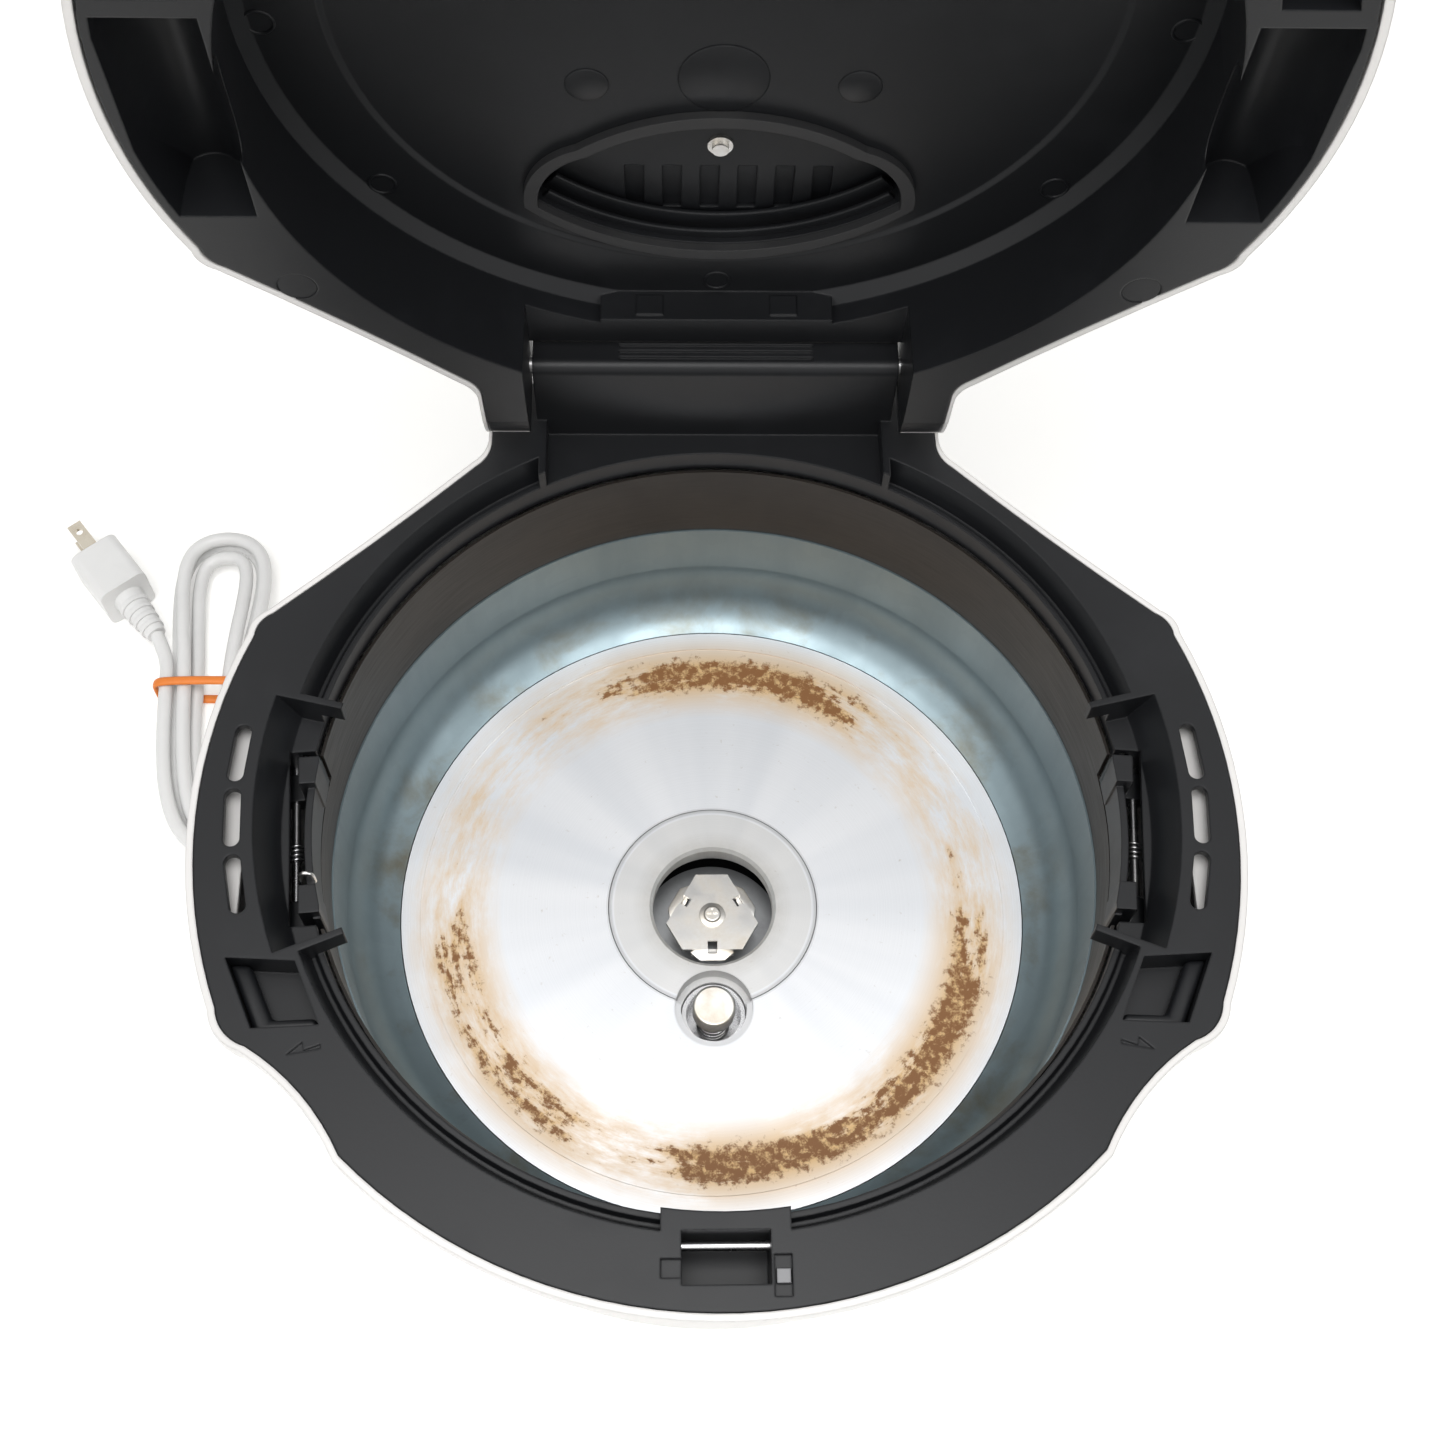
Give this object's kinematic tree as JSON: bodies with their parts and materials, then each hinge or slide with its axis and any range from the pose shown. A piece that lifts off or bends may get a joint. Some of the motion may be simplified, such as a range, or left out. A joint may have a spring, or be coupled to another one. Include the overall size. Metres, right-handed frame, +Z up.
{
  "type": "stirring multi-cooker",
  "caption": "Countertop electric cooker with a hinged lid held open, empty heating chamber with a bottom stirring drive, sprung sensor, latch, top controls and a tied mains lead.",
  "frame": {"origin": "on the table under the chamber axis", "axes": "+X right, +Y to the hinge at the back, +Z up"},
  "size_m": [0.4489, 0.3679, 0.5187],
  "materials": {
    "white_shell": "satin",
    "black_frame": "fine spark texture",
    "lever_plastic": "satin",
    "galvanised": "galvanised",
    "collar": "satin",
    "plate_metal": "turned, stained",
    "nickel": "stamped",
    "steel": "plain",
    "bronze": "sintered",
    "motor_case": "zinc",
    "board": "lacquered",
    "feet_rubber": "matt",
    "grey_plastic": "matt",
    "panel": "gloss",
    "window": "smoked",
    "key_plastic": "satin",
    "cord_white": "satin",
    "tie_orange": "matt",
    "blade_metal": "plated"
  },
  "bodies": {
    "base": {"outer_housing": "white_shell", "top_frame": "black_frame", "base_plate": "black_frame", "inner_chamber": "galvanised", "chamber_collar": "collar", "heating_plate": "plate_metal", "hub_ring": "plate_metal", "hinge_pin": "steel", "latch_strike": "steel", "left_lever_pin": "steel", "right_lever_pin": "steel", "left_lever_spring": "steel", "right_lever_spring": "steel", "left_hinge_spring": "steel", "right_hinge_spring": "steel", "sensor_spring": "steel", "sensor_sleeve": "steel", "base_screws": "steel", "motor_screws": "steel", "heater_element": "steel", "plate_legs": "steel", "bearing_bush": "bronze", "gear_motor": "motor_case", "power_board": "board", "rubber_feet": "feet_rubber", "cord_gland": "cord_white", "cord_lead": "cord_white", "cord_hank": "cord_white", "plug_lead": "cord_white", "plug_body": "cord_white", "cord_tie": "tie_orange", "plug_blades": "blade_metal"},
    "drive": {"drive_shaft": "steel", "drive_coupling": "nickel", "coupling_screw": "nickel"},
    "sensor": {"sensor_cap": "nickel"},
    "left_lever": {"left_pot_lever": "lever_plastic"},
    "right_lever": {"right_pot_lever": "lever_plastic"},
    "switch_pin": {"lid_switch_pin": "grey_plastic"},
    "lid": {"lid_shell": "white_shell", "lid_liner": "black_frame", "vent_gasket": "feet_rubber", "vent_plate": "black_frame", "vent_screw": "nickel", "liner_plugs": "black_frame", "control_panel": "panel", "display_window": "window", "control_board": "board", "hook_pin": "steel"},
    "button": {"open_button": "black_frame"},
    "hook": {"lid_hook": "black_frame"},
    "key_1": {"panel_key_1": "key_plastic"},
    "key_2": {"panel_key_2": "key_plastic"},
    "key_3": {"panel_key_3": "key_plastic"},
    "key_4": {"panel_key_4": "key_plastic"},
    "key_5": {"panel_key_5": "key_plastic"}
  },
  "joints": [
    {"name": "lid_hinge", "type": "hinge", "parent": "base", "child": "lid", "pos_m": [0, 0.1486, 0.206], "axis": [1, 0, 0], "range_deg": [0, 87.6], "stiffness_Nm_per_rad": 0.5, "springref_deg": -11.46},
    {"name": "drive_spin", "type": "hinge", "parent": "base", "child": "drive", "pos_m": [0, 0, 0.06], "axis": [0, 0, 1], "continuous": true},
    {"name": "sensor_press", "type": "slide", "parent": "base", "child": "sensor", "axis": [0, 0, -1], "range_m": [0, 0.003], "stiffness_N_per_m": 300, "springref_m": -0.002, "deforming": ["sensor_spring"]},
    {"name": "right_lever_turn", "type": "hinge", "parent": "base", "child": "right_lever", "pos_m": [0.13907, -0.01094, 0.154], "axis": [0.0785, 0.9969, 0], "range_deg": [0, 10], "stiffness_Nm_per_rad": 0.05, "springref_deg": -17.19},
    {"name": "left_lever_turn", "type": "hinge", "parent": "base", "child": "left_lever", "pos_m": [-0.13907, -0.01094, 0.154], "axis": [0.0785, -0.9969, 0], "range_deg": [0, 10], "stiffness_Nm_per_rad": 0.05, "springref_deg": -17.19},
    {"name": "lid_switch_press", "type": "slide", "parent": "base", "child": "switch_pin", "axis": [0, 0, -1], "range_m": [0, 0.003], "stiffness_N_per_m": 150, "springref_m": -0.002},
    {"name": "open_button_press", "type": "slide", "parent": "lid", "child": "button", "axis": [0, -0.9991, -0.0419], "range_m": [0, 0.003], "stiffness_N_per_m": 400, "springref_m": -0.002},
    {"name": "lid_hook_turn", "type": "hinge", "parent": "lid", "child": "hook", "pos_m": [0, 0.13284, 0.5007], "axis": [-1, 0, 0], "range_deg": [0, 4.5]},
    {"name": "key_1_press", "type": "slide", "parent": "lid", "child": "key_1", "axis": [0, -0.9991, -0.0419], "range_m": [0, 0.0008], "stiffness_N_per_m": 300, "springref_m": -0.001},
    {"name": "key_2_press", "type": "slide", "parent": "lid", "child": "key_2", "axis": [0, -0.9991, -0.0419], "range_m": [0, 0.0008], "stiffness_N_per_m": 300, "springref_m": -0.001},
    {"name": "key_3_press", "type": "slide", "parent": "lid", "child": "key_3", "axis": [0, -0.9991, -0.0419], "range_m": [0, 0.0008], "stiffness_N_per_m": 300, "springref_m": -0.001},
    {"name": "key_4_press", "type": "slide", "parent": "lid", "child": "key_4", "axis": [0, -0.9991, -0.0419], "range_m": [0, 0.0008], "stiffness_N_per_m": 300, "springref_m": -0.001},
    {"name": "key_5_press", "type": "slide", "parent": "lid", "child": "key_5", "axis": [0, -0.9991, -0.0419], "range_m": [0, 0.0008], "stiffness_N_per_m": 300, "springref_m": -0.001}
  ],
  "couplings": [
    {"joint": "lid_hook_turn", "follows": "open_button_press", "rad_per_m": 24.7}
  ]
}
